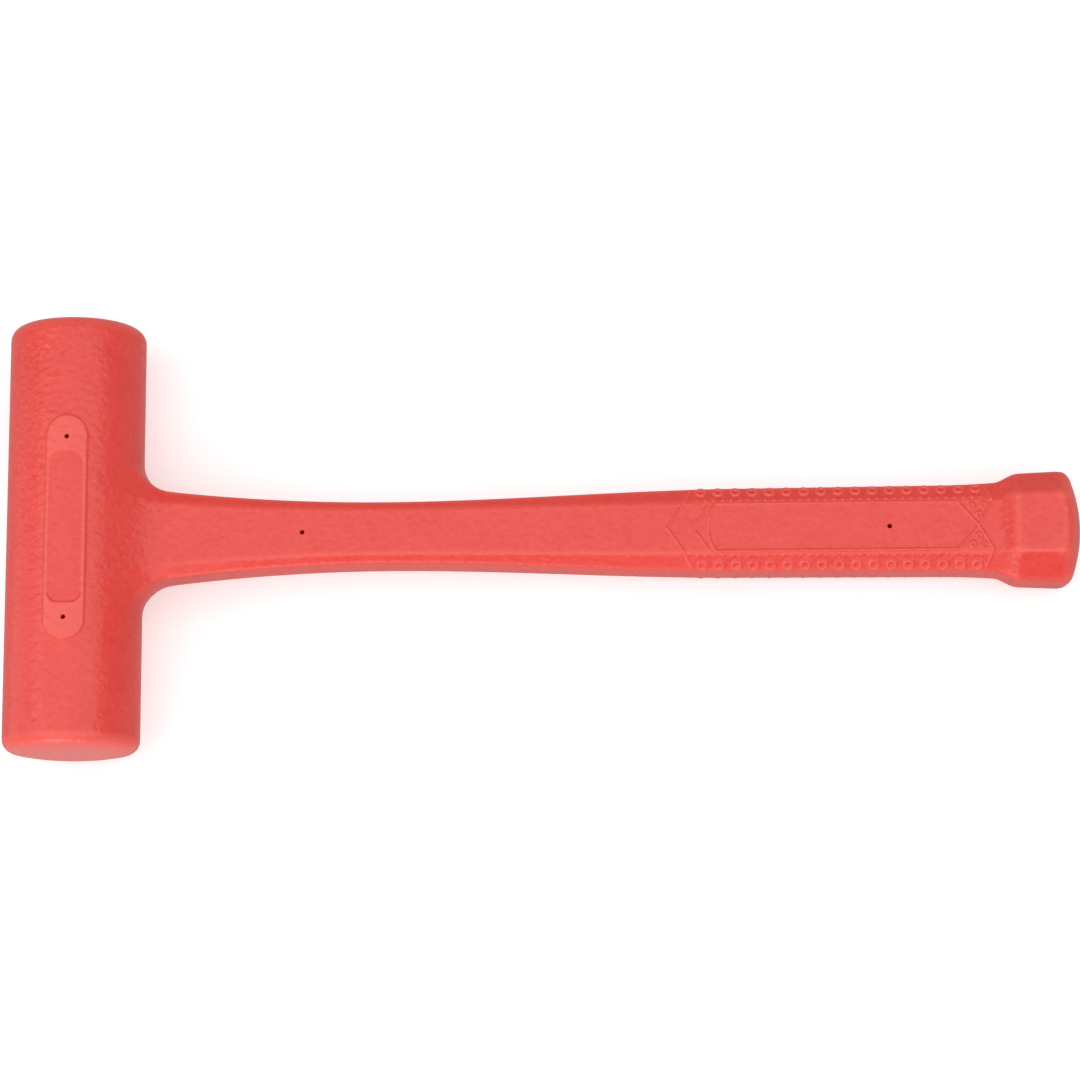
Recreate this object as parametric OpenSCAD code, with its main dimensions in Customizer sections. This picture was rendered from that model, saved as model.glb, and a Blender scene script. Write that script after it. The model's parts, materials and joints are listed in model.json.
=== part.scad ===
// Dead blow mallet: a steel canister of loose shot and a steel handle rod,
// cast over in one piece of urethane. Millimetres.
//
// The tool is drawn in its own frame: the head's axis is the Y axis, the
// handle runs along +X and the tool is symmetric in Y and Z. lying() then
// lays it on its side on the XY plane, resting on the head and the butt.

/* [Head] */
// Diameter of the round head
head_d = 40; // [37:0.5:44]
// Length of the head over both striking faces
head_l = 128; // [120:1:140]
// Diameter of the flat land in the middle of each striking face
face_land_d = 18; // [12:1:22]
// Radius of the crown between the flat land and the rim
face_crown_r = 40; // [30:1:80]
// Radius of the rounded rim of each striking face
face_edge_r = 2.8; // [1.5:0.1:4]
// Radius of the corner fillets where the handle leaves the head
neck_fillet_r = 8.5; // [6:0.5:10]

/* [Head pads] */
// Length of the raised pad on the front and on the back of the head
pad_l = 66.1; // [60:0.1:80]
// Width of the raised pad, round the head
pad_w = 11.8; // [11:0.1:14]
// Height of the raised pad
pad_h = 0.4; // [0.2:0.1:0.8]
// Length of the blank plate that the pad frames
plate_l = 44.4; // [30:0.1:50]
// Width of the blank plate
plate_w = 9.8; // [7:0.1:10]
// Radius of the blank plate's corners
plate_corner_r = 3.2; // [1:0.1:3.4]

/* [Handle] */
// Distance from the head's axis to the narrowest part of the neck
neck_x = 92; // [80:1:105]
// Width of the neck at its narrowest, along the head
neck_w = 18.7; // [17:0.1:22]
// Thickness of the neck, across the head
neck_t = 16; // [15:0.1:20]
// Radius of the long sweep that widens the neck towards the head
neck_sweep_r = 540; // [400:10:900]
// Distance from the head's axis to the full width of the grip
grip_x = 198; // [180:1:215]
// Width of the grip at its front end, along the head
grip_w = 24.9; // [22:0.1:28]
// Thickness of the grip, across the head
grip_t = 17.2; // [16:0.1:22]
// Extra width that the grip gains by the butt collar
grip_draft = 0.9; // [0:0.1:1.5]
// Amount by which each side of the grip flares out just before the butt collar
flare_h = 0.5; // [0:0.1:1]
// Length of that flare
flare_l = 15; // [5:1:20]
// Width of the neck's front and back flats, as a share of its width
neck_flat_share = 0.7; // [0.5:0.01:0.75]
// Height of the neck's side flats, as a share of its thickness
neck_side_share = 0.76; // [0.5:0.01:0.8]
// Width of the grip's front and back flats, as a share of its width
grip_flat_share = 0.6; // [0.5:0.01:0.7]
// Height of the grip's side flats, as a share of its thickness
grip_side_share = 0.64; // [0.4:0.01:0.75]
// Radius that rounds the eight long edges of the handle
handle_edge_r = 1.8; // [1:0.1:2]

/* [Butt collar] */
// Distance from the head's axis to the front edge of the butt collar
butt_x = 276.5; // [270:0.5:282]
// Length of the shoulder in front of the butt collar
shoulder_l = 7.5; // [4:0.5:12]
// Width of the butt collar, along the head
butt_w = 33.1; // [28:0.1:36]
// Thickness of the butt collar, across the head
butt_t = 26.6; // [22:0.1:32]
// Amount by which the collar's front edge is narrower than its back edge
butt_draft = 1.1; // [0:0.1:1.5]
// Width of the collar's front and back flats, as a share of its width
butt_flat_share = 0.53; // [0.4:0.01:0.6]
// Height of the collar's side flats, as a share of its thickness
butt_side_share = 0.48; // [0.4:0.01:0.6]
// Radius of the rounded edge round the end of the butt
butt_edge_r = 2.4; // [2:0.1:4]
// Height of the low crown on the end of the butt
butt_crown_h = 2.5; // [1:0.1:4]
// Distance from the head's axis to the tip of the butt
reach = 294.5; // [293:0.5:300]

/* [Steel core] */
// Outer diameter of the canister tube in the head
canister_d = 29; // [28:0.5:30]
// Length of the canister tube
canister_l = 106; // [100:1:108]
// Wall of the canister tube
canister_wall = 1.9; // [1.5:0.05:1.9]
// Thickness of the steel disc that closes each end of the canister
cap_t = 3; // [2:0.5:4]
// Diameter of the steel rod in the handle
rod_d = 10; // [8:0.5:11]
// Distance from the head's axis to the free end of the rod
rod_end_x = 265; // [250:1:275]
// Diameter of the weld bead where the rod meets the canister
weld_d = 15; // [13:0.5:16]
// Length of the weld bead along the rod
weld_l = 4; // [3:0.5:5]
// Diameter of the core pin holes that the mould leaves in the urethane
pin_d = 1.3; // [1:0.1:2]
// Distance from the middle of the head to each of its core pin holes
head_pin_y = 26.6; // [20:0.1:30]
// Distance from the head's axis to the core pin hole in the neck
neck_pin_x = 67.5; // [60:0.5:80]
// Distance from the head's axis to the core pin hole in the grip
grip_pin_x = 238.5; // [220:0.5:245]

/* [Shot] */
// Diameter of each steel ball
shot_d = 5; // [4.5:0.1:5]
// Number of layers of balls along the canister
shot_layers = 15; // [8:1:15]
// Gap between neighbouring layers
shot_gap = 0.1; // [0.05:0.05:0.2]
// Distance from the middle ball of a layer to the inner ring of balls
ring1_r = 5.05; // [5.05:0.01:5.2]
// Number of balls in the inner ring
ring1_n = 6; // [3:1:6]
// Distance from the middle ball of a layer to the outer ring of balls
ring2_r = 9.9; // [9.8:0.01:9.9]
// Number of balls in the outer ring
ring2_n = 12; // [6:1:12]

/* [Hidden] */
$fn = 96;
head_r = head_d / 2;
// The fillets start a little inside the round of the head.
fillet_sink = 0.6;
fillet_start_x = head_r - fillet_sink;
shoulder_x = butt_x - shoulder_l;
flare_x = shoulder_x - flare_l;
crown_x = reach - butt_crown_h;
edge_x = crown_x - butt_edge_r;
// The skin of the handle starts this far inside the canister's wall.
loft_sink = 2;
loft_start_x = canister_d / 2 - loft_sink;
// The tool lies on the head's pad and on the underside of the butt.
rest_r = head_r + pad_h;
lie_angle = asin((rest_r - butt_t / 2) / edge_x);
mid_x = (reach * cos(lie_angle) - head_r) / 2;
bore_d = canister_d - 2 * canister_wall;
shot_pitch = shot_d + shot_gap;
// Every other layer of balls is turned by half a step of its outer ring.
layer_turn = 180 / ring2_n;
// The weld bead sinks this far into the canister's wall.
bead_sink = 0.5;
// Bores run this far past the faces that they open.
overcut = 1;
// The neck's fillet is lower on the thin sides of the handle than on the wide ones.
fillet_t_share = 0.45;
edge_steps = 2;
// The skin of the handle closes with a small flat this far short of its tip.
tip_cut = 0.01;

function two_digits(n) = str(n < 10 ? "0" : "", n);
function layer_name(n) = str("shot_layer_", two_digits(n));

// ---- Curves of the handle, all as functions of x ----

function clamp01(t) = min(1, max(0, t));
function ease(t) = let (c = clamp01(t)) c * c * (3 - 2 * c);
function blend(a, b, t) = a + (b - a) * t;

// How far a circular fillet of radius r stands off its flank, u before its end.
function fillet_rise(u, r) = let (c = min(r, max(0, u))) r - sqrt(r * r - c * c);

function neck_rise(x) =
    fillet_rise(fillet_start_x + neck_fillet_r - max(x, fillet_start_x), neck_fillet_r);
function grip_share(x) = ease((x - neck_x) / (grip_x - neck_x));
function shoulder_share(x) = ease((x - shoulder_x) / shoulder_l);
function butt_share(x) = clamp01((x - butt_x) / (edge_x - butt_x));
function edge_inset(x) = fillet_rise(x - edge_x, butt_edge_r);
function crown_scale(x) = sqrt(clamp01((reach - x) / butt_crown_h));

function grip_half_w(x) =
    grip_w / 2
    + grip_draft / 2 * clamp01((x - grip_x) / (shoulder_x - grip_x))
    + flare_h * pow(clamp01((x - flare_x) / flare_l), 2);
function shaft_half_w(x) =
    x < neck_x
    ? neck_w / 2 + pow(neck_x - x, 2) / (2 * neck_sweep_r) + neck_rise(x)
    : blend(neck_w / 2, grip_half_w(x), grip_share(x));
function shaft_half_t(x) =
    blend(neck_t, grip_t, grip_share(x)) / 2 + fillet_t_share * neck_rise(x);
function collar_half(x, size) = (size - butt_draft * (1 - butt_share(x))) / 2;

function half_w(x) = blend(shaft_half_w(x), collar_half(x, butt_w), shoulder_share(x));
function half_t(x) = blend(shaft_half_t(x), collar_half(x, butt_t), shoulder_share(x));
function flat_part(x) =
    blend(blend(neck_flat_share, grip_flat_share, grip_share(x)), butt_flat_share, shoulder_share(x));
function side_part(x) =
    blend(blend(neck_side_share, grip_side_share, grip_share(x)), butt_side_share, shoulder_share(x));

// ---- Cross-section of the handle: an octagon with rounded corners ----

// One quarter of the octagon: two corners, each rounded by an arc of radius r.
function quarter(w, t, flat_w, flat_t, r) =
    let (
        turn = atan2(t - flat_t, w - flat_w),
        top = [flat_w - r * tan(turn / 2), t - r],
        side = [w - r, flat_t - r * tan((90 - turn) / 2)]
    )
    concat(
        [for (i = [0:edge_steps]) let (a = 90 - turn * i / edge_steps)
            top + r * [cos(a), sin(a)]],
        [for (i = [0:edge_steps]) let (a = (90 - turn) * (1 - i / edge_steps))
            side + r * [cos(a), sin(a)]]
    );

function turned(points) = [for (i = [len(points) - 1:-1:0]) points[i]];
function octagon(q) = concat(
    q,
    turned([for (p = q) [p.x, -p.y]]),
    [for (p = q) [-p.x, -p.y]],
    turned([for (p = q) [-p.x, p.y]])
);

function ring(x) =
    let (
        w = half_w(x),
        t = half_t(x),
        cut = min(edge_inset(x), butt_edge_r),
        s = crown_scale(min(max(x, crown_x), reach)),
        outline = octagon(quarter(w, t, w * flat_part(x), t * side_part(x), handle_edge_r))
    )
    [for (p = outline) [
        x,
        p.x * (1 - cut / w) * s,
        p.y * (1 - cut / t) * s
    ]];

function spaced(a, b, n) = [for (i = [0:n - 1]) a + (b - a) * i / n];
// Stations bunch up where the outline turns fastest.
function bunched(a, b, n) = [for (i = [0:n - 1]) a + (b - a) * (1 - cos(90 * i / n))];
function bunched_late(a, b, n) = [for (i = [0:n - 1]) a + (b - a) * sin(90 * i / n)];

stations = concat(
    [loft_start_x],
    bunched(fillet_start_x, fillet_start_x + neck_fillet_r, 6),
    spaced(fillet_start_x + neck_fillet_r, neck_x, 6),
    spaced(neck_x, grip_x, 9),
    spaced(grip_x, flare_x, 2),
    spaced(flare_x, shoulder_x, 3),
    spaced(shoulder_x, butt_x, 6),
    spaced(butt_x, edge_x, 2),
    bunched_late(edge_x, crown_x, 4),
    bunched_late(crown_x, reach, 5),
    [reach - tip_cut]
);

// A closed skin over a list of rings that all have the same number of points.
module loft(rings) {
    n = len(rings[0]);
    last = len(rings) - 1;
    polyhedron(
        points = [for (r = rings) for (p = r) p],
        faces = concat(
            [[for (j = [n - 1:-1:0]) j]],
            [for (i = [0:last - 1]) for (j = [0:n - 1])
                [i * n + j, i * n + (j + 1) % n, (i + 1) * n + (j + 1) % n]],
            [for (i = [0:last - 1]) for (j = [0:n - 1])
                [i * n + j, (i + 1) * n + (j + 1) % n, (i + 1) * n + j]],
            [[for (j = [0:n - 1]) last * n + j]]
        ),
        convexity = 6
    );
}

// ---- Placing ----

module lying() {
    translate([-mid_x, 0, rest_r])
        rotate([0, lie_angle, 0])
            children();
}

// Turns a solid that is drawn round Z so that it lies along the head.
module along_head() {
    rotate([-90, 0, 0])
        children();
}

// ---- Urethane casting ----

land_r = face_land_d / 2;
rim_r = head_r - face_edge_r;
// Angle through which the crown turns before the rim's arc takes over.
crown_turn = asin((rim_r - land_r) / (face_crown_r - face_edge_r));
crown_centre = [land_r, head_l / 2 - face_crown_r];
rim_centre = crown_centre + (face_crown_r - face_edge_r) * [sin(crown_turn), cos(crown_turn)];
crown_steps = 4;
rim_steps = 6;

// Half of a striking face's outline: flat land, crown and rounded rim.
face_outline = concat(
    [for (i = [0:crown_steps - 1]) let (a = crown_turn * i / crown_steps)
        crown_centre + face_crown_r * [sin(a), cos(a)]],
    [for (i = [0:rim_steps]) let (a = blend(crown_turn, 90, i / rim_steps))
        rim_centre + face_edge_r * [sin(a), cos(a)]]
);

module head_blank() {
    along_head()
        rotate_extrude()
            polygon(concat(
                [[0, head_l / 2]],
                face_outline,
                turned([for (p = face_outline) [p.x, -p.y]]),
                [[0, -head_l / 2]]
            ));
}

module pad_outline() {
    straight_l = pad_l - pad_w;
    square([pad_w, straight_l], center = true);
    for (side = [-1, 1])
        translate([0, side * straight_l / 2])
            circle(d = pad_w);
}

module plate_outline() {
    straight_w = plate_w - 2 * plate_corner_r;
    straight_l = plate_l - 2 * plate_corner_r;
    square([plate_w, straight_l], center = true);
    square([straight_w, plate_l], center = true);
    for (side = [-1, 1])
        for (end = [-1, 1])
            translate([side * straight_w / 2, end * straight_l / 2])
                circle(r = plate_corner_r);
}

// The raised frames on the front and back of the head, each round a blank plate.
module head_pads() {
    intersection() {
        along_head()
            difference() {
                cylinder(r = rest_r, h = pad_l + 2 * overcut, center = true);
                cylinder(r = head_r - pad_h, h = pad_l + 4 * overcut, center = true);
            }
        linear_extrude(height = head_d + 4 * overcut, center = true)
            difference() {
                pad_outline();
                plate_outline();
            }
    }
}

module core_pin_hole(x, y) {
    translate([x, y, 0])
        cylinder(d = pin_d, h = head_d + 2 * overcut, center = true);
}

module urethane_casting() {
    color([0.91, 0.37, 0.32])
        lying()
            difference() {
                union() {
                    head_blank();
                    head_pads();
                    loft([for (x = stations) ring(x)]);
                }
                canister_envelope();
                rod_envelope(0);
                core_pin_hole(0, head_pin_y);
                core_pin_hole(0, -head_pin_y);
                core_pin_hole(neck_pin_x, 0);
                core_pin_hole(grip_pin_x, 0);
            }
}

// ---- Steel core ----

module canister_envelope() {
    along_head()
        cylinder(d = canister_d, h = canister_l, center = true);
}

// The rod with its weld bead, drawn from start_x inside the canister outwards.
module rod_envelope(start_x) {
    bead_x = sqrt(pow(canister_d / 2, 2) - pow(weld_d / 2, 2)) - bead_sink;
    translate([start_x, 0, 0])
        rotate([0, 90, 0])
            cylinder(d = rod_d, h = rod_end_x - start_x);
    translate([bead_x, 0, 0])
        rotate([0, 90, 0])
            cylinder(d1 = weld_d, d2 = rod_d, h = canister_d / 2 + weld_l - bead_x);
}

module canister_tube() {
    color([0.62, 0.63, 0.65])
        lying()
            along_head()
                difference() {
                    cylinder(d = canister_d, h = canister_l, center = true);
                    cylinder(d = bore_d, h = canister_l + 2 * overcut, center = true);
                }
}

module canister_cap(side) {
    color([0.68, 0.69, 0.71])
        lying()
            translate([0, side * (canister_l - cap_t) / 2, 0])
                along_head()
                    cylinder(d = bore_d, h = cap_t, center = true);
}

module handle_rod() {
    color([0.55, 0.56, 0.58])
        lying()
            difference() {
                rod_envelope(canister_d / 4);
                canister_envelope();
            }
}

// ---- Loose shot ----

// One layer of balls across the canister: one in the middle and two rings.
module ball_layer(turn) {
    sphere(d = shot_d);
    for (i = [0:ring1_n - 1])
        rotate([0, 0, turn + 360 * i / ring1_n])
            translate([ring1_r, 0, 0])
                sphere(d = shot_d);
    for (i = [0:ring2_n - 1])
        rotate([0, 0, turn + 360 * (i + 0.5) / ring2_n])
            translate([ring2_r, 0, 0])
                sphere(d = shot_d);
}

module shot_layer(n) {
    color([0.75, 0.76, 0.78])
        lying()
            translate([0, (n - (shot_layers + 1) / 2) * shot_pitch, 0])
                along_head()
                    ball_layer(n % 2 * layer_turn);
}

urethane_casting();
canister_tube();
canister_cap(1);  // canister_cap_1
canister_cap(-1);  // canister_cap_2
handle_rod();
for (n = [1:shot_layers])
    shot_layer(n);
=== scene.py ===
"""Looks of the dead blow mallet: its urethane casting, the steel inside, the studio and the camera.

Shapes are worked out in the tool's own frame, in millimetres: the head's axis is Y, the handle runs
along +X, and Z is across the flat of the tool. to_world() turns them into the frame's metres.
"""
import json
import math

import bmesh
import bpy
import numpy as np
from mathutils import Matrix, Vector


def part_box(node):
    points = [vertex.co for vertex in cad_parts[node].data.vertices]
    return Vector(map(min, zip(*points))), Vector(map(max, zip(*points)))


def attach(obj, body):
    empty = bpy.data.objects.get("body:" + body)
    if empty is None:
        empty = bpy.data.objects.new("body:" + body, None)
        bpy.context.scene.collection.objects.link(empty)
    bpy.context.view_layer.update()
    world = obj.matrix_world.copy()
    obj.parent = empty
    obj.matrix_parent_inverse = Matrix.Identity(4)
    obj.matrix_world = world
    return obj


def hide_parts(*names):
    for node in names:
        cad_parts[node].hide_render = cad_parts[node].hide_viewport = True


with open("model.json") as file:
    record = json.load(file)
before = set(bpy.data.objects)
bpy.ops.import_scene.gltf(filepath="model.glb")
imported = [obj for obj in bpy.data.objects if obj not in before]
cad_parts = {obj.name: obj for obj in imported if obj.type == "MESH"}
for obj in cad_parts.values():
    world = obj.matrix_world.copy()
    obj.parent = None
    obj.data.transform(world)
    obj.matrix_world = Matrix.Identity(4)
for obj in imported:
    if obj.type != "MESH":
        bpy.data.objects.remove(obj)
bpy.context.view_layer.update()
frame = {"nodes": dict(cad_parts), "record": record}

MM = 0.001

# ---- The tool's frame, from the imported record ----

MOUNTS = {mount["name"]: mount for mount in frame["record"]["mounts"]}
HANDLE_AXIS = np.array(MOUNTS["grip"]["axis"], float)
HANDLE_AXIS /= np.linalg.norm(HANDLE_AXIS)
TOOL_X = np.array([1.0, 0.0, 0.0])
TOOL_Y = np.array([0.0, 1.0, 0.0])
# The head's axis is Y in the frame too.
TOOL_AXES = np.array([HANDLE_AXIS, TOOL_Y, np.cross(HANDLE_AXIS, TOOL_Y)])
HEAD_CENTRE = np.array(MOUNTS["striking_face_1"]["pos_m"]) * [1, 0, 1]


def to_world(points):
    """Metres in the frame, of points given in the tool's millimetres."""
    return HEAD_CENTRE + MM * np.asarray(points) @ TOOL_AXES


# ---- Sizes of the casting, in millimetres, as the CAD has them; x runs from the head's axis ----

PAD_RISE = 0.4
# The mallet rests on the pad along the underside of its head.
HEAD_R = HEAD_CENTRE[2] / MM - PAD_RISE
HEAD_HALF_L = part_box("urethane_casting")[1].y / MM
FACE_LAND_R = 9.0
FACE_CROWN_R = 40.0
FACE_EDGE_R = 2.8
NECK_FILLET_R = 8.5

NECK_X = 92.0
NECK_W = 18.7
NECK_T = 16.0
NECK_SWEEP_R = 540.0
GRIP_X = 198.0
GRIP_W = 24.9
GRIP_T = 17.2
GRIP_DRAFT = 0.9
FLARE_H = 0.5
FLARE_L = 15.0
BUTT_X = 276.5
SHOULDER_L = 7.5
BUTT_W = 33.1
BUTT_T = 26.6
BUTT_DRAFT = 1.1
BUTT_EDGE_R = 2.4
BUTT_CROWN_H = 2.5
REACH = 294.5
SHOULDER_X = BUTT_X - SHOULDER_L
FLARE_X = SHOULDER_X - FLARE_L
CROWN_X = REACH - BUTT_CROWN_H
EDGE_X = CROWN_X - BUTT_EDGE_R

# Flats of the octagon as a share of its width or thickness, at the neck, the grip and the butt.
FLAT_SHARES = (0.7, 0.6, 0.53)
SIDE_SHARES = (0.76, 0.64, 0.48)
# How deep the rounding of an octagon edge reaches, beside the flats and beside the sides.
TOP_EDGE = 0.45
SIDE_EDGE = 1.1

# ---- Moulded relief, in millimetres ----

PAD_HALF_L = 33.05
PAD_HALF_W = 5.9
PLATE_HALF_L = 22.2
PLATE_HALF_W = 4.9
PLATE_CORNER_R = 3.2
RELIEF_SLOPE = 0.6
# A pale sheen is painted on the striking faces from their middle to this far behind it.
FACE_SHEEN_DEPTH = 3.5

# The moulded pattern of the grip starts here.
KNURL_X = 172.0
RING_PITCH = 5.0
RING_COUNT = 17
RING_FIRST_X = 183.8
RING_OFF_FLAT = 4.0
RING_R = 1.2
RING_HALF_W = 0.75
RING_H = 0.5
DOT_OFF_FLAT = 0.9
DOT_R = 0.75
DOT_H = 0.34
LINE_HALF_W = 0.55
LINE_H = 0.32
# The smooth panel: where its arc starts, its long side starts and ends, and its point lies.
PANEL_HALF_W = 7.0
PANEL_ENDS = (185.7, 188.0, 258.3, 264.4)
# Corners of the chevrons at the ends of the panel: place along the handle, and round it.
CHEVRONS = (
    ((173.9, 0.0), (178.6, 7.0), (180.9, 12.6)),
    ((182.4, 1.4), (185.6, 6.2)),
    ((264.4, 0.0), (268.5, 7.0), (266.4, 12.6)),
)
# Middles of the small rings between them, given the same way.
SMALL_RINGS = ((262.4, 5.6), (265.9, 5.9), (264.4, 3.1))
SMALL_RING_R = 0.75
SMALL_RING_HALF_W = 0.55

PIN_HOLE_R = 0.65
HEAD_PIN_Y = 26.6
NECK_PIN_X = 67.5
GRIP_PIN_X = 238.5
HEAD_PIN_DEPTH = 5.8
NECK_PIN_DEPTH = 2.95
GRIP_PIN_DEPTH = 3.55
# Rings from the edge of a hole's block to its mouth, as a share of the way.
MOUTH_SHARES = (0.3, 0.6, 0.85)
# Rings down the lip of a pin hole: radius as a share of the hole's, depth, and how far the
# normal leans in.
LIP_RINGS = ((1.25, 0.0, 0.0), (1.1, 0.03, 0.35), (1.02, 0.1, 0.8), (1.0, 0.2, 1.0))


# ---- Skin of the casting: the surface where shape() is zero ----

def ease(t):
    c = np.clip(t, 0, 1)
    return c * c * (3 - 2 * c)


def blend(a, b, t):
    return a + (b - a) * t


def soft_max(a, b, reach):
    """The larger of two distances, with the crease between them rounded."""
    near = np.maximum(reach - np.abs(a - b), 0)
    return np.maximum(a, b) + near * near / (4 * reach)


def round_cut(a, b, r):
    """What two solids share, with an edge of radius r."""
    return np.minimum(-r, np.maximum(a, b)) + np.hypot(np.maximum(r + a, 0), np.maximum(r + b, 0))


def round_union(a, b, r):
    """Two solids joined by a fillet of radius r."""
    return np.maximum(r, np.minimum(a, b)) - np.hypot(np.maximum(r - a, 0), np.maximum(r - b, 0))


def section(x):
    """The handle's octagon at x: half width, half thickness, and half of each kind of flat."""
    grip = ease((x - NECK_X) / (GRIP_X - NECK_X))
    collar = ease((x - SHOULDER_X) / SHOULDER_L)
    sweep = np.maximum(NECK_X - x, 0) ** 2 / (2 * NECK_SWEEP_R)
    draft = GRIP_DRAFT * np.clip((x - GRIP_X) / (SHOULDER_X - GRIP_X), 0, 1)
    back = BUTT_DRAFT * (1 - np.clip((x - BUTT_X) / (EDGE_X - BUTT_X), 0, 1))
    flare = FLARE_H * np.clip((x - FLARE_X) / FLARE_L, 0, 1) ** 2
    half_w = blend(NECK_W / 2 + sweep, (GRIP_W + draft) / 2 + flare, grip)
    half_w = blend(half_w, (BUTT_W - back) / 2, collar)
    half_t = blend(blend(NECK_T, GRIP_T, grip), BUTT_T - back, collar) / 2
    flat = blend(blend(FLAT_SHARES[0], FLAT_SHARES[1], grip), FLAT_SHARES[2], collar)
    side = blend(blend(SIDE_SHARES[0], SIDE_SHARES[1], grip), SIDE_SHARES[2], collar)
    return half_w, half_t, half_w * flat, half_t * side


def shape(p):
    """Roughly how far points stand off the casting's skin, without its relief."""
    x, y, z = p[..., 0], np.abs(p[..., 1]), np.abs(p[..., 2])
    w, t, flat_w, flat_t = section(x)
    turn = np.arctan2(t - flat_t, w - flat_w)
    chamfer = (y - flat_w) * np.sin(turn) + (z - t) * np.cos(turn)
    shaft = soft_max(soft_max(z - t, chamfer, TOP_EDGE), y - w, SIDE_EDGE)
    off_axis = (y / (w - BUTT_EDGE_R)) ** 2 + (z / (t - BUTT_EDGE_R)) ** 2
    end = x - CROWN_X - BUTT_CROWN_H * (1 - off_axis)
    handle = np.maximum(round_cut(shaft, end, BUTT_EDGE_R), -x)
    radius = np.hypot(x, z)
    beyond_land = np.maximum(radius - FACE_LAND_R, 0)
    crown = FACE_CROWN_R - np.sqrt(np.maximum(FACE_CROWN_R ** 2 - beyond_land ** 2, 1))
    head = round_cut(radius - HEAD_R, y - HEAD_HALF_L + crown, FACE_EDGE_R)
    return round_union(head, handle, NECK_FILLET_R)


def gradient(p, step=0.02):
    return np.stack([(shape(p + e) - shape(p - e)) / (2 * step) for e in step * np.eye(3)], -1)


def settle(p, rounds=5, longest=1.5, flattest=0.05):
    """Moves points onto the skin, and returns them with the skin's outward normals."""
    for _ in range(rounds):
        slope = gradient(p)
        move = shape(p) / np.maximum(np.sum(slope * slope, -1), flattest)
        p = p - np.clip(move, -longest, longest)[..., None] * slope
    slope = gradient(p)
    return p, slope / np.linalg.norm(slope, axis=-1, keepdims=True)


# ---- Relief: how far the moulded details stand off the skin ----

def inside(distance, slope=RELIEF_SLOPE):
    """1 inside an outline and 0 outside it, with a short slope between them."""
    return ease(0.5 - distance / slope)


def ridge(distance, half_width):
    """A round-topped ridge, 1 along the middle and 0 beyond its half width."""
    return 0.5 + 0.5 * np.cos(np.pi * np.clip(np.abs(distance) / half_width, 0, 1))


def head_relief(p):
    """The raised pad along each side of the head and the sunk plate in it."""
    along = np.abs(p[..., 1])
    across = np.abs(HEAD_R * np.arctan2(p[..., 0], np.abs(p[..., 2])))
    pad = np.hypot(np.maximum(along - PAD_HALF_L + PAD_HALF_W, 0), across) - PAD_HALF_W
    past_l = along - PLATE_HALF_L + PLATE_CORNER_R
    past_w = across - PLATE_HALF_W + PLATE_CORNER_R
    corner = np.hypot(np.maximum(past_l, 0), np.maximum(past_w, 0))
    plate = corner + np.minimum(np.maximum(past_l, past_w), 0) - PLATE_CORNER_R
    return PAD_RISE * inside(pad) * (1 - inside(plate))


def round_the_grip(p):
    """Distance round the handle from the middle of its front or back, and the flat's half width."""
    y, z = np.abs(p[..., 1]), np.abs(p[..., 2])
    w, t, flat_w, flat_t = section(p[..., 0])
    turn = np.arctan2(t - flat_t, w - flat_w)
    down = (y - flat_w) * np.cos(turn) + (t - z) * np.sin(turn)
    chamfer_l = np.hypot(w - flat_w, t - flat_t)
    over = np.clip(down, 0, chamfer_l) + np.clip(flat_t - z, 0, flat_t)
    return np.minimum(y, flat_w) + over, flat_w


def to_line(x, v, points):
    """Distance to a line of straight stretches."""
    nearest = np.full(x.shape, np.inf)
    for (x0, v0), (x1, v1) in zip(points, points[1:]):
        dx, dv = x1 - x0, v1 - v0
        share = np.clip(((x - x0) * dx + (v - v0) * dv) / (dx * dx + dv * dv), 0, 1)
        nearest = np.minimum(nearest, np.hypot(x - x0 - share * dx, v - v0 - share * dv))
    return nearest


def panel_outline():
    """Half of the smooth panel's border: a shallow arc, the long side and a point."""
    start_x, side_x, point_x, end_x = PANEL_ENDS
    bulge = side_x - start_x
    arc = [(start_x + bulge * s * s, PANEL_HALF_W * s) for s in np.linspace(0, 1, 9)]
    return arc + [(point_x, PANEL_HALF_W), (end_x, 0)]


def grip_relief(p):
    """The knurled bands, the panel's border and the chevrons, alike on the front and the back."""
    x = p[..., 0]
    v, flat_w = round_the_grip(p)
    ring = np.clip(np.round((x - RING_FIRST_X) / RING_PITCH), 0, RING_COUNT - 1)
    from_ring = np.hypot(x - RING_FIRST_X - ring * RING_PITCH, v - flat_w - RING_OFF_FLAT)
    rise = RING_H * ridge(from_ring - RING_R, RING_HALF_W)
    dot_pitch = RING_PITCH / 2
    first_dot = RING_FIRST_X - dot_pitch / 2
    dot = np.clip(np.round((x - first_dot) / dot_pitch), 0, 2 * RING_COUNT - 1)
    from_dot = np.hypot(x - first_dot - dot * dot_pitch, v - flat_w - DOT_OFF_FLAT)
    rise = np.maximum(rise, DOT_H * ridge(from_dot, DOT_R))
    for line in (panel_outline(), *CHEVRONS):
        rise = np.maximum(rise, LINE_H * ridge(to_line(x, v, line), LINE_HALF_W))
    for ring_x, ring_v in SMALL_RINGS:
        from_small = np.hypot(x - ring_x, v - ring_v) - SMALL_RING_R
        rise = np.maximum(rise, DOT_H * ridge(from_small, SMALL_RING_HALF_W))
    return rise


# ---- Grid patches, whose cells are small only where the relief needs them ----

# A cell of a patch is split while its height varies by more than this.
FLATNESS = 0.035


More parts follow.
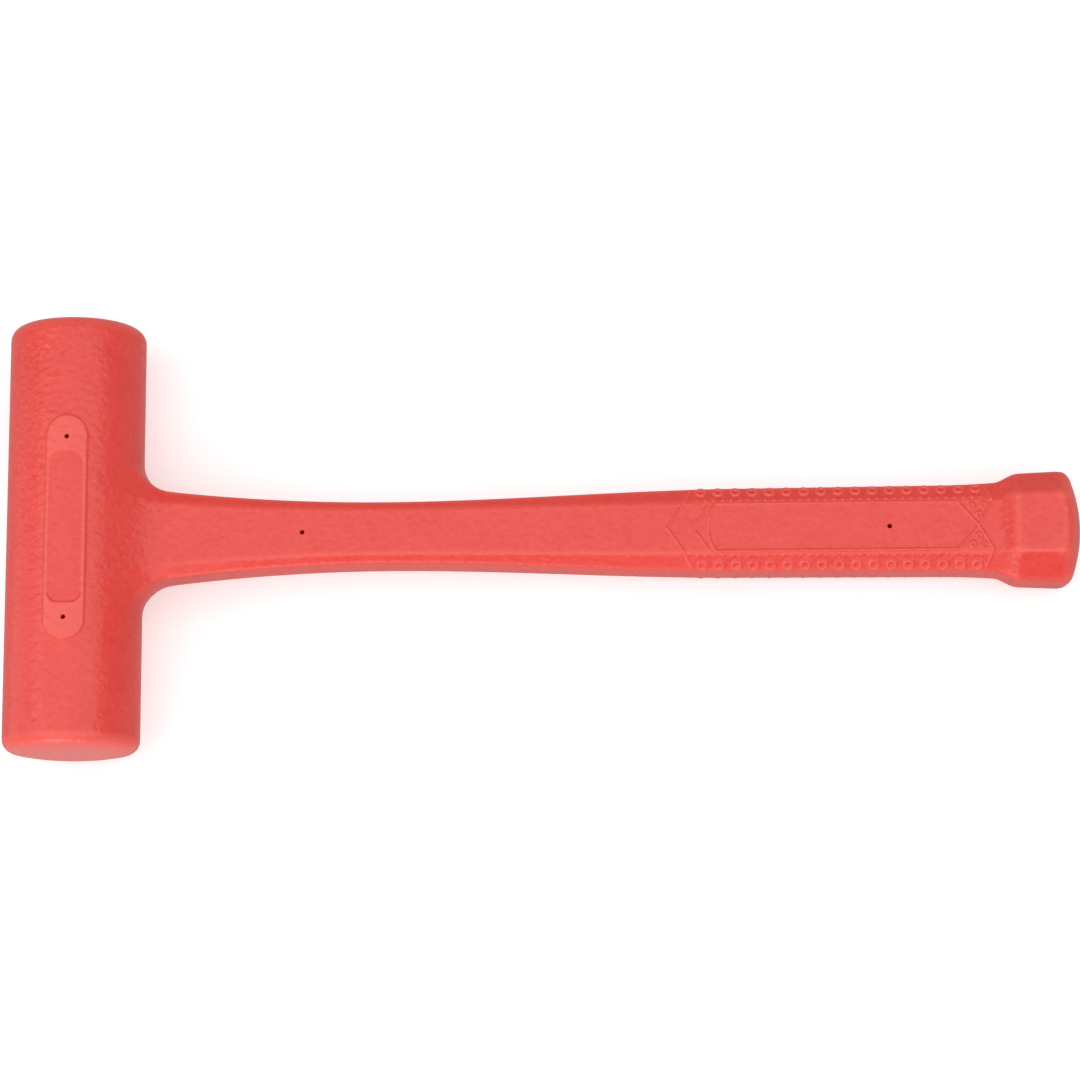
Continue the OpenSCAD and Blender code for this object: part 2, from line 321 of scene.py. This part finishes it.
class Patch:
    """A fine grid of skin points, wrapped round in its columns, with square cells of mixed size."""

    def __init__(self, guess, relief, split):
        self.split = split
        self.base, self.normal = settle(guess)
        self.height = relief(self.base)
        self.base[:, -1] = self.base[:, 0]
        self.normal[:, -1] = self.normal[:, 0]
        self.height[:, -1] = self.height[:, 0]
        self.skin = self.base + self.height[..., None] * self.normal
        self.index = np.full(self.height.shape, -1)
        self.gone = np.zeros(self.height.shape, bool)
        self.used = np.zeros(self.height.shape, bool)
        self.cells = []

    def clear(self, row, column, rows, columns):
        """Leaves out the cells of a block, given in whole cells."""
        m = self.split
        self.gone[row * m:(row + rows) * m, column * m:(column + columns) * m] = True

    def divide(self, i, j, size):
        block = self.height[i:i + size + 1, j:j + size + 1]
        if size > 1 and block.max() - block.min() > FLATNESS:
            half = size // 2
            for di, dj in ((0, 0), (0, half), (half, 0), (half, half)):
                self.divide(i + di, j + dj, half)
        else:
            self.cells.append((i, j, size))
            self.used[i:i + size + 1:size, j:j + size + 1:size] = True

    def make_cells(self):
        rows, columns = self.height.shape
        for i in range(0, rows - 1, self.split):
            for j in range(0, columns - 1, self.split):
                if not self.gone[i, j]:
                    self.divide(i, j, self.split)
        seam = self.used[:, 0] | self.used[:, -1]
        self.used[:, 0] = seam
        self.used[:, -1] = seam

    def rim(self, i, j, rows, columns):
        """Every grid point round a block, in order."""
        points = [(i, j + k) for k in range(columns)]
        points += [(i + k, j + columns) for k in range(rows)]
        points += [(i + rows, j + columns - k) for k in range(columns)]
        return points + [(i + rows - k, j) for k in range(rows)]

    def shade_normals(self):
        """Normals of the skin with its relief."""
        di = np.gradient(self.skin, axis=0)
        padded = np.concatenate([self.skin[:, -2:-1], self.skin, self.skin[:, 1:2]], axis=1)
        dj = (padded[:, 2:] - padded[:, :-2]) / 2
        bent = np.cross(di, dj)
        bent *= np.sign(np.sum(bent * self.normal, -1, keepdims=True))
        bent /= np.maximum(np.linalg.norm(bent, axis=-1, keepdims=True), 1e-12)
        slope_i, slope_j = np.gradient(self.height)
        steep = (np.abs(slope_i) + np.abs(slope_j) > 1e-4)[..., None]
        return np.where(steep, bent, self.normal)


class Skin:
    """Vertices, faces and normals of the mesh as it grows."""

    def __init__(self):
        self.points = []
        self.normals = []
        self.heights = []
        self.faces = []

    def add(self, point, normal, height=0.0):
        self.points.append(point)
        self.normals.append(normal)
        self.heights.append(height)
        return len(self.points) - 1

    def add_patch(self, patch):
        """Gives the patch's used points their vertices, and its cells their faces."""
        normals = patch.shade_normals()
        columns = patch.index.shape[1]
        for i, j in zip(*np.nonzero(patch.used)):
            if j < columns - 1 and patch.index[i, j] < 0:
                patch.index[i, j] = self.add(patch.skin[i, j], normals[i, j], patch.height[i, j])
        patch.index[:, -1] = patch.index[:, 0]
        for i, j, size in patch.cells:
            rim = [int(patch.index[q]) for q in patch.rim(i, j, size, size) if patch.used[q]]
            if len(rim) == 4:
                self.faces.append(rim)
            else:
                middle = (i + size // 2, j + size // 2)
                centre = self.add(patch.skin[middle], normals[middle], patch.height[middle])
                self.faces += [[a, b, centre] for a, b in zip(rim, rim[1:] + rim[:1])]

    def bridge(self, ring_a, ring_b):
        """Faces between two rings of the same number of vertices."""
        next_a, next_b = ring_a[1:] + ring_a[:1], ring_b[1:] + ring_b[:1]
        self.faces += [list(face) for face in zip(ring_a, next_a, next_b, ring_b)]

    def close(self, ring, point, normal):
        """A fan of faces from a ring to one point."""
        centre = self.add(point, normal)
        self.faces += [[a, b, centre] for a, b in zip(ring, ring[1:] + ring[:1])]

    def drill(self, patch, relief, row, column, rows, columns, depth):
        """A core pin hole in the middle of a cleared block of the patch."""
        m = patch.split
        loop = patch.rim(row * m, column * m, rows * m, columns * m)
        middle = ((2 * row + rows) * m // 2, (2 * column + columns) * m // 2)
        centre, normal = patch.base[middle], patch.normal[middle]
        side = np.cross(normal, TOOL_Y)
        if np.linalg.norm(side) < 0.5:
            side = np.cross(normal, TOOL_X)
        side /= np.linalg.norm(side)
        other = np.cross(normal, side)
        start = np.array([patch.skin[q] for q in loop])
        angle = np.arctan2((start - centre) @ other, (start - centre) @ side)
        out = np.cos(angle)[:, None] * side + np.sin(angle)[:, None] * other
        ring = [int(patch.index[q]) for q in loop]
        mouth = centre + LIP_RINGS[0][0] * PIN_HOLE_R * out
        for share in MOUTH_SHARES:
            place, bend = settle(blend(start, mouth, share), rounds=3)
            rise = relief(place)
            place = place + rise[:, None] * bend
            new = [self.add(p, n, h) for p, n, h in zip(place, bend, rise)]
            self.bridge(ring, new)
            ring = new
        top = patch.height[middle]
        for size, sink, lean in LIP_RINGS + ((1.0, depth, 1.0),):
            place, bend = settle(centre + size * PIN_HOLE_R * out, rounds=3)
            place = place + (top - sink) * normal
            lip = blend(bend, -out, lean)
            new = [self.add(p, n, top) for p, n in zip(place, lip)]
            self.bridge(ring, new)
            ring = new
        self.close(ring, centre + (top - depth) * normal, normal)


# ---- Patch over the head, open where the handle leaves it ----

HEAD_SPLIT = 8
HEAD_COLUMNS = 72
# The opening spans this many columns to each side of the handle's plane, and this far to each
# side of it along the head.
OPEN_COLUMNS = 10
OPEN_HALF_L = 24.0
OPEN_ROWS = 28
# Rows over a striking face: radius, and how far behind the face's land.
FACE_ROWS = ((1.2, 0.0), (3.5, 0.0), (6.2, 0.0), (9.0, 0.0), (11.5, 0.1), (14.2, 0.3))
# Rows round the rim: the centre of its arc behind the land, and each row's turn in degrees.
RIM_DEPTH = 3.6
RIM_TURNS = (12, 35, 60, 90)
# Rows from the rim to the row of pin holes.
SHANK_DEPTH = 5.0
SHANK_ROWS = 17


def head_profile():
    """Radius and place along the axis of each row of the head's patch, from face to face."""
    face = [(radius, HEAD_HALF_L - depth) for radius, depth in FACE_ROWS]
    rim_r, rim_y = HEAD_R - FACE_EDGE_R, HEAD_HALF_L - RIM_DEPTH
    for turn in np.radians(RIM_TURNS):
        face.append((rim_r + FACE_EDGE_R * np.sin(turn), rim_y + FACE_EDGE_R * np.cos(turn)))
    ends = HEAD_HALF_L - SHANK_DEPTH, 2 * HEAD_PIN_Y - OPEN_HALF_L
    shank = [(HEAD_R, y) for y in np.linspace(*ends, SHANK_ROWS)]
    half = face + shank + [(HEAD_R, HEAD_PIN_Y)]
    opening = [(HEAD_R, y) for y in np.linspace(OPEN_HALF_L, -OPEN_HALF_L, OPEN_ROWS + 1)]
    return half + opening + [(r, -y) for r, y in reversed(half)]


def finer(values, split):
    """A list of row values with split - 1 more between each two."""
    values = np.asarray(values)
    steps = np.arange((len(values) - 1) * split + 1) / split
    return np.interp(steps, np.arange(len(values)), values)


def head_patch():
    profile = head_profile()
    radius = finer([r for r, _ in profile], HEAD_SPLIT)[:, None]
    along = finer([y for _, y in profile], HEAD_SPLIT)[:, None]
    count = HEAD_COLUMNS * HEAD_SPLIT
    # Column 0 is opposite the handle, so the opening lies in the middle of the columns.
    angle = np.pi + 2 * np.pi * np.arange(count + 1)[None, :] / count
    guess = np.stack([radius * np.cos(angle), along + 0 * angle, radius * np.sin(angle)], -1)
    return Patch(guess, head_relief, HEAD_SPLIT)


# ---- Patch over the handle, from the opening to the tip ----

# Columns of the handle's patch up to each corner of its outline, and what each corner takes of the
# half width, the flat's half width, the half thickness and the side flat's half height.
OUTLINE = (
    (0, -0.5, -0.5, 0.5, 0.5),
    (5, 0, -1, 1, 0),
    (23, 0, 1, 1, 0),
    (28, 0.5, 0.5, 0.5, 0.5),
    (33, 1, 0, 0, 1),
    (43, 1, 0, 0, -1),
    (48, 0.5, 0.5, -0.5, -0.5),
    (53, 0, 1, -1, 0),
    (71, 0, -1, -1, 0),
    (76, -0.5, -0.5, -0.5, -0.5),
    (81, -1, 0, 0, -1),
    (91, -1, 0, 0, 1),
    (96, -0.5, -0.5, 0.5, 0.5),
)
HANDLE_COLUMNS = 96
HANDLE_SPLIT = 4
# Columns along the middle of the handle's front and of its back.
FLAT_COLUMNS = (14, 62)
# Rows from the head's opening to the first plain row of the handle.
NECK_ROWS = 10
NECK_END_X = 30.0
# Stretches of the handle's rows past the neck: where each starts and ends, and its rows.
STRETCHES = (
    (NECK_END_X, NECK_PIN_X, 22),
    (NECK_PIN_X, KNURL_X, 60),
    (KNURL_X, GRIP_PIN_X, 64),
    (GRIP_PIN_X, SHOULDER_X, 29),
    (SHOULDER_X, BUTT_X, 10),
    (BUTT_X, EDGE_X, 7),
)
# Rows round the edge of the butt, in degrees, and rows over its crown, as a share of its radius.
BUTT_TURNS = (0, 22, 45, 68)
CROWN_SHARES = (1.0, 0.8, 0.6, 0.4, 0.22, 0.08)


def opening_edge(u):
    """Points round the head's opening, for the handle's columns u."""
    corners = np.cumsum([0, OPEN_ROWS, 2 * OPEN_COLUMNS, OPEN_ROWS, 2 * OPEN_COLUMNS])
    turn = np.interp(u, corners, [1, 1, -1, -1, 1]) * OPEN_COLUMNS * 360 / HEAD_COLUMNS
    along = np.interp(u, corners, [-1, 1, 1, -1, -1]) * OPEN_HALF_L
    a = np.radians(turn)
    return np.stack([HEAD_R * np.cos(a), along, HEAD_R * np.sin(a)], -1)


def handle_rows():
    """Place along the handle and size of each row of its patch past the neck."""
    rows = [(x, 1.0) for a, b, n in STRETCHES for x in np.linspace(a, b, n, endpoint=False)]
    inner = 1 - BUTT_EDGE_R / (BUTT_T / 2)
    for turn in np.radians(BUTT_TURNS):
        x = EDGE_X + BUTT_EDGE_R * np.sin(turn)
        rows.append((x, blend(inner, 1, np.cos(turn))))
    for share in CROWN_SHARES:
        rows.append((CROWN_X + BUTT_CROWN_H * (1 - share * share), inner * share))
    return rows


def handle_patch():
    rows = handle_rows()
    u = np.arange(HANDLE_COLUMNS * HANDLE_SPLIT + 1) / HANDLE_SPLIT
    corners = np.array(OUTLINE)
    parts = [np.interp(u, corners[:, 0], corners[:, k])[None, :] for k in (1, 2, 3, 4)]
    x = finer([NECK_END_X] * NECK_ROWS + [x for x, _ in rows], HANDLE_SPLIT)[:, None]
    size = finer([1.0] * NECK_ROWS + [s for _, s in rows], HANDLE_SPLIT)[:, None]
    w, t, flat_w, flat_t = section(x)
    y = size * (parts[0] * w + parts[1] * flat_w)
    z = size * (parts[2] * t + parts[3] * flat_t)
    guess = np.stack([x + 0 * y, y, z], -1)
    share = np.clip(np.arange(len(x)) / (NECK_ROWS * HANDLE_SPLIT), 0, 1)[:, None, None]
    return Patch(blend(opening_edge(u)[None], guess, share), grip_relief, HANDLE_SPLIT)


def nearest_row(patch, x, column):
    """The whole row of the patch that passes nearest to x."""
    m = patch.split
    return int(np.argmin(np.abs(patch.base[::m, column * m, 0] - x)))


def casting_skin():
    """The casting's outer skin, with its core pin holes."""
    skin = Skin()
    head = head_patch()
    open_row = len(head_profile()) // 2 - OPEN_ROWS // 2
    open_column = HEAD_COLUMNS // 2 - OPEN_COLUMNS
    head.clear(open_row, open_column, OPEN_ROWS, 2 * OPEN_COLUMNS)
    handle = handle_patch()
    holes = []
    for side_column in (HEAD_COLUMNS // 4, 3 * HEAD_COLUMNS // 4):
        for row in (open_row - 2, open_row + OPEN_ROWS):
            holes.append((head, head_relief, row, side_column - 1, 2, 2, HEAD_PIN_DEPTH))
    for column in FLAT_COLUMNS:
        neck_row = nearest_row(handle, NECK_PIN_X, column)
        grip_row = nearest_row(handle, GRIP_PIN_X, column)
        holes.append((handle, grip_relief, neck_row - 1, column - 2, 2, 4, NECK_PIN_DEPTH))
        holes.append((handle, grip_relief, grip_row - 2, column - 2, 4, 4, GRIP_PIN_DEPTH))
    for patch, _, row, column, rows, columns, _ in holes:
        patch.clear(row, column, rows, columns)
        m = patch.split
        for q in patch.rim(row * m, column * m, rows * m, columns * m):
            patch.used[q] = True
    head.make_cells()
    handle.make_cells()
    skin.add_patch(head)
    share_opening(head, handle, open_row, open_column)
    skin.add_patch(handle)
    for patch, relief, row, column, rows, columns, depth in holes:
        skin.drill(patch, relief, row, column, rows, columns, depth)
    for row, y in ((0, HEAD_HALF_L), (-1, -HEAD_HALF_L)):
        ring = [int(k) for k in head.index[row, :-1] if k >= 0]
        skin.close(ring, np.array([0, y, 0]), np.array([0, np.sign(y), 0]))
    ring = [int(k) for k in handle.index[-1, :-1] if k >= 0]
    skin.close(ring, np.array([REACH, 0, 0]), TOOL_X)
    return skin


def share_opening(head, handle, open_row, open_column):
    """Gives the handle's first row the vertices round the head's opening."""
    m = head.split
    loop = head.rim(open_row * m, open_column * m, OPEN_ROWS * m, 2 * OPEN_COLUMNS * m)[::m]
    places = np.array([head.base[q] for q in loop])
    for column in range(HANDLE_COLUMNS):
        q = (0, column * handle.split)
        nearest = int(np.argmin(np.linalg.norm(places - handle.base[q], axis=1)))
        handle.index[q] = head.index[loop[nearest]]
        handle.skin[q] = places[nearest]


# Skin that bends more sharply than the first of these, per millimetre, starts to be painted pale,
# as edge wear and painted edge highlight, and skin that bends as sharply as the second is pale in
# full.
WEAR_AND_HIGHLIGHT_BENDS = (0.12, 0.57)


def edge_wear_and_highlight(points, step=1.0):
    """0 on flat and gently curved skin, up to 1 on its convex edges, which are painted pale as wear
    and painted highlight.
    """
    around = sum(shape(points + e) + shape(points - e) for e in step * np.eye(3))
    bend = (around - 6 * shape(points)) / (step * step)
    return np.clip((bend - WEAR_AND_HIGHLIGHT_BENDS[0]) / (WEAR_AND_HIGHLIGHT_BENDS[1] - WEAR_AND_HIGHLIGHT_BENDS[0]), 0, 1)


def face_sheen(points):
    """1 on the striking faces, where a pale sheen is painted, 0 on the rest of the casting."""
    from_end = HEAD_HALF_L - np.abs(points[:, 1])
    return ease(1 - from_end / FACE_SHEEN_DEPTH)


def make_casting(material):
    """The casting as one mesh, with its relief, its pale edges (wear and painted highlight) and its
    painted face sheen kept as attributes for the material.
    """
    skin = casting_skin()
    points = np.array(skin.points)
    mesh = bpy.data.meshes.new("cast_urethane")
    mesh.from_pydata(to_world(points).tolist(), [], skin.faces)
    tidy = bmesh.new()
    tidy.from_mesh(mesh)
    bmesh.ops.recalc_face_normals(tidy, faces=tidy.faces)
    tidy.to_mesh(mesh)
    tidy.free()
    mesh.shade_smooth()
    normals = np.array(skin.normals) @ TOOL_AXES
    normals /= np.linalg.norm(normals, axis=1, keepdims=True)
    mesh.normals_split_custom_set_from_vertices(normals.tolist())
    layers = {"relief": skin.heights, "wear_and_sheen": edge_wear_and_highlight(points), "painted_face_sheen": face_sheen(points)}
    for name, values in layers.items():
        layer = mesh.attributes.new(name, "FLOAT", "POINT")
        layer.data.foreach_set("value", np.asarray(values, float))
    mesh.materials.append(material)
    piece = bpy.data.objects.new("cast_urethane", mesh)
    bpy.context.scene.collection.objects.link(piece)
    return piece


# ---- Materials ----

class Painter:
    """Makes the nodes of one material, starting from its Principled shader."""

    def __init__(self, name):
        self.material = bpy.data.materials.new(name)
        self.material.use_nodes = True
        self.tree = self.material.node_tree
        self.shader = self.tree.nodes["Principled BSDF"]
        self.place = self.node("ShaderNodeTexCoord").outputs["Object"]

    def node(self, kind, **settings):
        node = self.tree.nodes.new(kind)
        for key, value in settings.items():
            setattr(node, key, value)
        return node

    def link(self, output, node, socket):
        self.tree.links.new(output, node.inputs[socket])

    def noise(self, size_mm, detail=2.0, roughness=0.5):
        """Noise whose features are about size_mm across."""
        node = self.node("ShaderNodeTexNoise")
        self.link(self.place, node, "Vector")
        node.inputs["Scale"].default_value = 1 / (size_mm * MM)
        node.inputs["Detail"].default_value = detail
        node.inputs["Roughness"].default_value = roughness
        return node.outputs["Fac"]

    def span(self, value, low, high, to_low, to_high):
        """value from low..high, held to to_low..to_high."""
        node = self.node("ShaderNodeMapRange")
        self.link(value, node, "Value")
        limits = {"From Min": low, "From Max": high, "To Min": to_low, "To Max": to_high}
        for socket, number in limits.items():
            node.inputs[socket].default_value = number
        return node.outputs["Result"]

    def mix(self, share, a, b):
        """Colour a where share is 0 and b where it is 1; a may be an output or a colour."""
        node = self.node("ShaderNodeMix", data_type="RGBA")
        self.link(share, node, "Factor")
        for socket, colour in ((6, a), (7, b)):
            if isinstance(colour, tuple):
                node.inputs[socket].default_value = (*colour, 1)
            else:
                self.tree.links.new(colour, node.inputs[socket])
        return node.outputs[2]

    def attribute(self, name):
        return self.node("ShaderNodeAttribute", attribute_name=name).outputs["Fac"]

    def bump(self, height, depth_mm, below=None):
        node = self.node("ShaderNodeBump")
        node.inputs["Distance"].default_value = depth_mm * MM
        self.link(height, node, "Height")
        if below is not None:
            self.link(below, node, "Normal")
        return node.outputs["Normal"]


# Urethane: its main colour, its darker clouds, its paler tone (mottle, edge wear, painted
# highlight), and its painted face sheen.
URETHANE = (0.73, 0.047, 0.034)
URETHANE_DEEP = (0.68, 0.036, 0.029)
URETHANE_PALE_AND_HIGHLIGHT = (0.80, 0.098, 0.074)
URETHANE_FACE_SHEEN = (0.82, 0.145, 0.122)
# How far each of those colours goes over the main one.
CLOUD_SHARE = 0.55
MOTTLE_SHARE = 0.22
WEAR_AND_HIGHLIGHT_SHARE = 0.9
RELIEF_HIGHLIGHT_SHARE = 0.8
FACE_SHEEN_SHARE = 0.75
# The relief's painted highlight is palest from this height on, in millimetres.
RELIEF_HIGHLIGHT_H = 0.45
URETHANE_ROUGHNESS = (0.25, 0.34)
URETHANE_IOR = 1.5
# Size and depth of the cast skin's dimples and of the finer grain over them, in millimetres.
PEEL_SIZE, PEEL_DEPTH = 1.9, 0.24
GRAIN_SIZE, GRAIN_DEPTH = 0.8, 0.03

# Base colour, size of the grain in millimetres and roughness of each piece of steel.
CANISTER_STEEL = ((0.56, 0.57, 0.58), 1.2, 0.38)
ROD_STEEL = ((0.45, 0.45, 0.46), 0.8, 0.42)
SHOT_STEEL = ((0.62, 0.63, 0.65), 0.5, 0.24)


def urethane_material():
    """Cast urethane: slightly mottled colour, a fine cast grain, edges painted pale as wear and
    painted highlight, painted highlights on the relief, and a painted sheen on the striking faces.
    """
    paint = Painter("cast_urethane_orange")
    shader = paint.shader
    clouds = paint.span(paint.noise(9, 3), 0.35, 0.65, 0, CLOUD_SHARE)
    mottle = paint.span(paint.noise(1.6, 2), 0.35, 0.65, 0, MOTTLE_SHARE)
    colour = paint.mix(clouds, URETHANE, URETHANE_DEEP)
    colour = paint.mix(mottle, colour, URETHANE_PALE_AND_HIGHLIGHT)
    # Convex edges painted pale: partly edge wear, partly a painted edge highlight.
    rubbed_and_highlit = paint.span(paint.attribute("wear_and_sheen"), 0, 1, 0, WEAR_AND_HIGHLIGHT_SHARE)
    colour = paint.mix(rubbed_and_highlit, colour, URETHANE_PALE_AND_HIGHLIGHT)
    # Raised relief painted paler: a painted highlight on its tops.
    raised = paint.span(paint.attribute("relief"), 0, RELIEF_HIGHLIGHT_H, 0, RELIEF_HIGHLIGHT_SHARE)
    colour = paint.mix(raised, colour, URETHANE_PALE_AND_HIGHLIGHT)
    # Striking faces painted paler: a painted sheen for the light they catch at grazing angles.
    painted_face_sheen = paint.span(paint.attribute("painted_face_sheen"), 0, 1, 0, FACE_SHEEN_SHARE)
    colour = paint.mix(painted_face_sheen, colour, URETHANE_FACE_SHEEN)
    paint.link(colour, shader, "Base Color")
    dull = paint.span(paint.noise(3.5, 3), 0.3, 0.7, *URETHANE_ROUGHNESS)
    paint.link(dull, shader, "Roughness")
    shader.inputs["IOR"].default_value = URETHANE_IOR
    peel = paint.bump(paint.noise(PEEL_SIZE, 1), PEEL_DEPTH)
    grain = paint.bump(paint.noise(GRAIN_SIZE, 1), GRAIN_DEPTH, peel)
    paint.link(grain, shader, "Normal")
    return paint.material


def steel_material(name, colour, grain_mm, roughness):
    """Plain or brushed steel with faint stains and a fine ground surface."""
    paint = Painter(name)
    shader = paint.shader
    shader.inputs["Metallic"].default_value = 1.0
    dark = tuple(0.7 * c for c in colour)
    stains = paint.span(paint.noise(9, 4, 0.65), 0.4, 0.7, 0, 0.7)
    paint.link(paint.mix(stains, colour, dark), shader, "Base Color")
    dull = paint.span(paint.noise(grain_mm, 3), 0.3, 0.7, roughness - 0.08, roughness + 0.1)
    paint.link(dull, shader, "Roughness")
    paint.link(paint.bump(paint.noise(grain_mm, 3, 0.6), 0.02), shader, "Normal")
    return paint.material


def finish_steel():
    """Gives each steel node that the CAD carries over its own finish."""
    canister = steel_material("canister_tube_steel", *CANISTER_STEEL)
    rod = steel_material("handle_rod_steel", *ROD_STEEL)
    shot = steel_material("shot_ball_steel", *SHOT_STEEL)
    for name, node in frame["nodes"].items():
        finish = canister
        if name.startswith("shot"):
            finish = shot
        elif name.startswith("handle"):
            finish = rod
        for place in node.material_slots:
            place.material = finish


# ---- Studio ----

# The floor: half of its side in metres, its two greys, and its own faint glow.
FLOOR_HALF = 3.0
FLOOR_GREYS = ((0.68, 0.68, 0.68), (0.71, 0.71, 0.71))
FLOOR_GLOW = 0.42
WORLD_LIGHT = 0.42
# Softboxes, in metres: name, place, width, length, watts, and the point that each one faces.
SOFTBOXES = (
    ("overhead_panel", (-0.12, -0.34, 1.1), 3.15, 1.74, 21.2, (-0.12, -0.34, 0)),
    ("left_panel", (-1.25, 0.0, 0.3), 0.6, 1.6, 2.5, (0, 0, 0)),
    ("face_light", (-0.22, -0.5, 0.10), 0.35, 0.16, 0.45, (0, 0, 0)),
)


def make_floor():
    """A plain pale floor, on which the mallet lies."""
    mesh = bpy.data.meshes.new("floor")
    corners = [(FLOOR_HALF * x, FLOOR_HALF * y, 0) for x, y in ((-1, -1), (1, -1), (1, 1), (-1, 1))]
    mesh.from_pydata(corners, [], [(0, 1, 2, 3)])
    floor = bpy.data.objects.new("floor", mesh)
    bpy.context.scene.collection.objects.link(floor)
    paint = Painter("studio_floor")
    speckle = paint.span(paint.noise(60, 3), 0.3, 0.7, 0, 1)
    paint.link(paint.mix(speckle, *FLOOR_GREYS), paint.shader, "Base Color")
    paint.shader.inputs["Roughness"].default_value = 0.7
    paint.shader.inputs["Emission Color"].default_value = (1, 1, 1, 1)
    paint.shader.inputs["Emission Strength"].default_value = FLOOR_GLOW
    mesh.materials.append(paint.material)
    # The casting does not mirror the floor, whose glow would veil its sides.
    floor.visible_glossy = False


def soft_light(name, place, width, length, watts, aim):
    """A softbox at a place, facing its aim, with its length along the mallet's head."""
    lamp = bpy.data.lights.new(name, "AREA")
    lamp.shape = "RECTANGLE"
    lamp.size = width
    lamp.size_y = length
    lamp.energy = watts
    light = bpy.data.objects.new(name, lamp)
    light.location = place
    light.rotation_euler = (Vector(place) - Vector(aim)).to_track_quat("Z", "Y").to_euler()
    bpy.context.scene.collection.objects.link(light)


def make_lights():
    world = bpy.data.worlds.new("studio")
    world.use_nodes = True
    world.node_tree.nodes["Background"].inputs["Color"].default_value = (1, 1, 1, 1)
    world.node_tree.nodes["Background"].inputs["Strength"].default_value = WORLD_LIGHT
    bpy.context.scene.world = world
    for softbox in SOFTBOXES:
        soft_light(*softbox)
    bpy.context.scene.view_settings.view_transform = "Standard"


# ---- Camera ----

CAMERA_AIM = (136.7, -1.4, 0.0)
CAMERA_DISTANCE = 1044.0
# Lean of the line of sight away from the head's side, towards the second striking face and
# towards the handle, and the camera's turn about that line.
CAMERA_TILT = math.radians(11.56)
CAMERA_SWING = math.radians(1.11)
CAMERA_ROLL = math.radians(0.34)
# Width of the view at the aim point, in millimetres.
CAMERA_FIELD = 316.7
SENSOR_W = 36.0


def make_camera():
    """The photograph's point of view: above the mallet, leaning towards one striking face."""
    tilt, swing = CAMERA_TILT, CAMERA_SWING
    look = Vector((math.sin(swing), 0, math.cos(swing))) * math.cos(tilt)
    look.y = -math.sin(tilt)
    up = Vector(TOOL_Y) - look * look.y
    up.normalize()
    right = up.cross(look)
    turned_right = math.cos(CAMERA_ROLL) * right - math.sin(CAMERA_ROLL) * up
    turned_up = math.sin(CAMERA_ROLL) * right + math.cos(CAMERA_ROLL) * up
    axes = [Vector(np.array(v) @ TOOL_AXES) for v in (turned_right, turned_up, look)]
    lens = bpy.data.cameras.new("camera")
    lens.sensor_width = SENSOR_W
    lens.lens = SENSOR_W * CAMERA_DISTANCE / CAMERA_FIELD
    camera = bpy.data.objects.new("camera", lens)
    camera.matrix_world = Matrix(axes).transposed().to_4x4()
    camera.location = Vector(to_world(CAMERA_AIM)) + axes[2] * CAMERA_DISTANCE * MM
    bpy.context.scene.collection.objects.link(camera)
    bpy.context.scene.camera = camera


# ---- The scene ----

make_camera()
make_lights()
make_floor()
finish_steel()

casting = make_casting(urethane_material())
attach(casting, "mallet")
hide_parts("urethane_casting")
